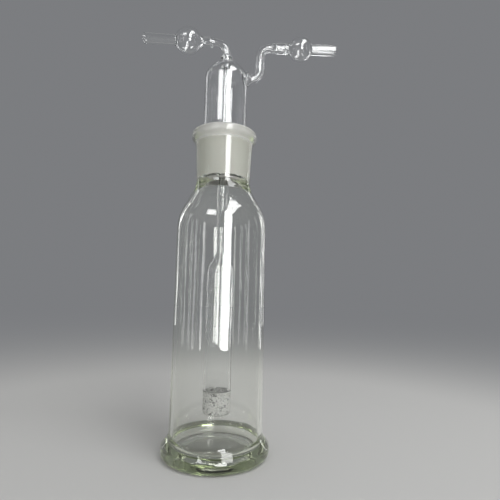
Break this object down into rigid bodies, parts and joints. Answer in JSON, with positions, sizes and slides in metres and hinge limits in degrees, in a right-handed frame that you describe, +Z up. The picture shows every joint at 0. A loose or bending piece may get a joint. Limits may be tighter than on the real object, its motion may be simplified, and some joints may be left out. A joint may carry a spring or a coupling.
{
  "type": "gas washing bottle",
  "caption": "Footed glass bottle with a ground socket; its lift-out glass head has a dip tube, trap chamber and sintered tip, and two side arms with safety bulbs for hoses.",
  "frame": {"origin": "centre of the ring that the foot stands on, on the axis of the bottle and head", "axes": "+Z up along the bottle's axis; the two hose arms lie in the XZ plane, the inlet towards -X and the outlet towards +X"},
  "size_m": [0.1377, 0.0686, 0.2892],
  "materials": {
    "bottle_glass": "clear pressed glass, faintly green in the thick foot, with a ground socket",
    "head_glass": "clear lamp-worked glass with a ground cone",
    "sintered_glass": "coarse white sintered glass"
  },
  "bodies": {
    "bottle": {"bottle": "bottle_glass"},
    "head": {"head": "head_glass", "tip": "sintered_glass"}
  },
  "joints": [
    {"name": "head_lift", "type": "slide", "parent": "bottle", "child": "head", "axis": [0, 0, 1], "range_m": [0, 0.2]}
  ]
}
